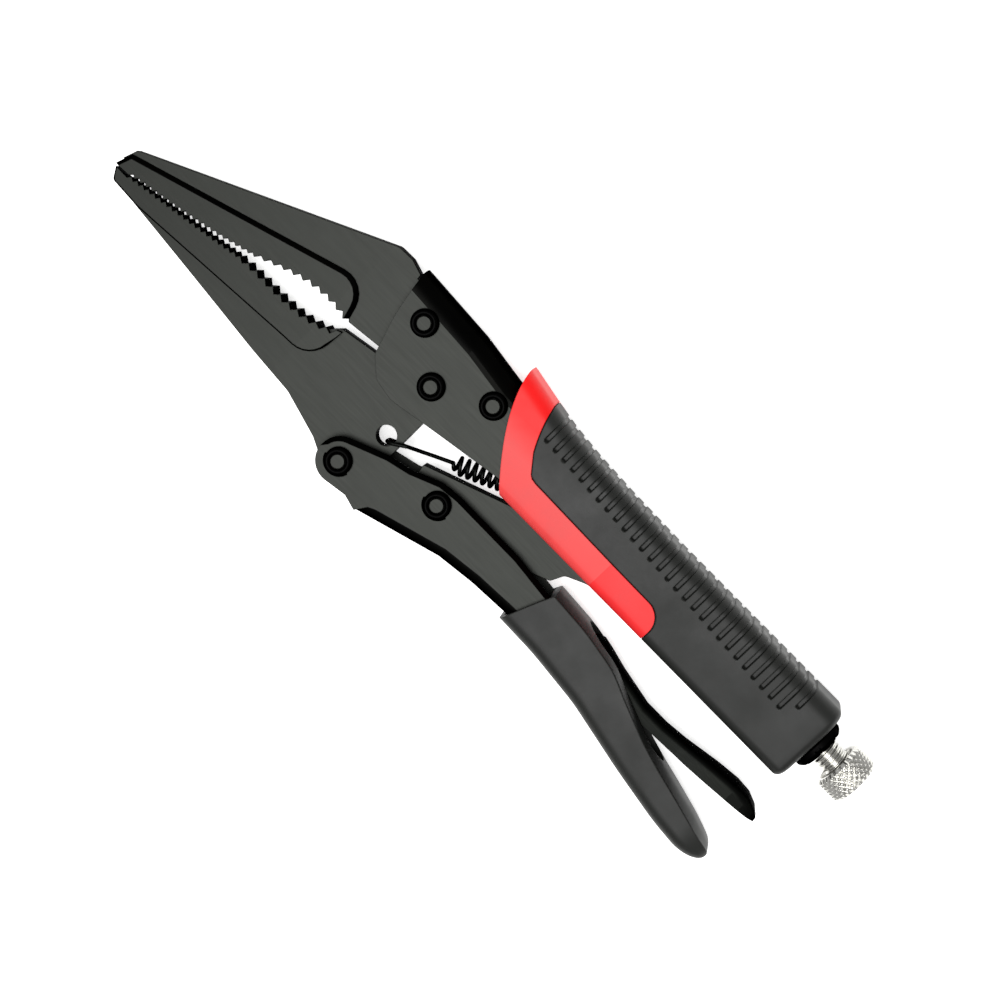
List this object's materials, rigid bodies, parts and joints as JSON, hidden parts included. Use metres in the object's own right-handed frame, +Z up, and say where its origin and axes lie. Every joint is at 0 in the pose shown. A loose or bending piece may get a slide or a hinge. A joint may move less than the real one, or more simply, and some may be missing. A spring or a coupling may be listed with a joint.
{
  "type": "locking pliers",
  "caption": "Long-nose locking pliers with toothed jaws, over-centre toggle lever, release lever, tension spring, knurled adjusting screw and rubber-covered handles.",
  "frame": {"origin": "centre of the footprint of the tool lying on the flat side of its grip, on the surface it lies on", "axes": "+X from the jaw tips to the adjusting knob, +Y from the lever to the fixed handle's spine, +Z up along the rivets"},
  "size_m": [0.2302, 0.0562, 0.018],
  "materials": {
    "black_oxide_steel": "black oxide, satin, fine ground lines",
    "dark_steel": "blackened, semi-gloss",
    "zinc_plated_steel": "bright plated",
    "black_elastomer": "moulded, matte",
    "red_elastomer": "moulded, matte"
  },
  "bodies": {
    "fixed_handle": {"handle_channel": "black_oxide_steel", "fixed_jaw": "black_oxide_steel", "fixed_jaw_rivet_front": "dark_steel", "fixed_jaw_rivet_rear": "dark_steel", "jaw_pivot_rivet": "dark_steel", "spring_anchor_pin": "dark_steel", "tension_spring": "dark_steel", "handle_grip": "black_elastomer", "handle_grip_band": "red_elastomer", "screw_boss": "zinc_plated_steel", "end_collar": "dark_steel"},
    "movable_jaw_body": {"movable_jaw": "black_oxide_steel"},
    "lever": {"lever_channel": "black_oxide_steel", "jaw_lever_rivet": "dark_steel", "link_rivet": "dark_steel", "release_pivot_pin": "dark_steel", "lever_sleeve": "black_elastomer"},
    "link": {"toggle_link": "black_oxide_steel"},
    "release": {"release_lever": "dark_steel"},
    "screw": {"adjusting_screw": "zinc_plated_steel"},
    "knob": {"adjusting_knob": "zinc_plated_steel"}
  },
  "joints": [
    {"name": "jaw_pivot", "type": "hinge", "parent": "fixed_handle", "child": "movable_jaw_body", "pos_m": [-0.0232, 0.00832, 0.009], "axis": [0, 0, 1], "range_deg": [0, 20], "deforming": ["tension_spring"]},
    {"name": "lever_pivot", "type": "hinge", "parent": "movable_jaw_body", "child": "lever", "pos_m": [-0.0264, -0.02028, 0.009], "axis": [0, 0, 1], "range_deg": [-64, 0]},
    {"name": "link_pivot", "type": "hinge", "parent": "lever", "child": "link", "pos_m": [-0.0023, -0.01068, 0.009], "axis": [0, 0, 1], "range_deg": [0, 61]},
    {"name": "release_pivot", "type": "hinge", "parent": "lever", "child": "release", "pos_m": [0.0508, -0.01368, 0.009], "axis": [0, 0, -1], "range_deg": [0, 5]},
    {"name": "screw_travel", "type": "slide", "parent": "fixed_handle", "child": "screw", "axis": [1, 0, 0], "range_m": [0, 0.012]},
    {"name": "knob_turn", "type": "hinge", "parent": "screw", "child": "knob", "pos_m": [0.1084, 0.01332, 0.009], "axis": [1, 0, 0], "range_deg": [0, 3457]}
  ],
  "couplings": [
    {"joint": "lever_pivot", "follows": "jaw_pivot", "ratio": -3.174},
    {"joint": "link_pivot", "follows": "jaw_pivot", "ratio": 3.026},
    {"joint": "knob_turn", "follows": "screw_travel", "rad_per_m": 5026.5}
  ]
}
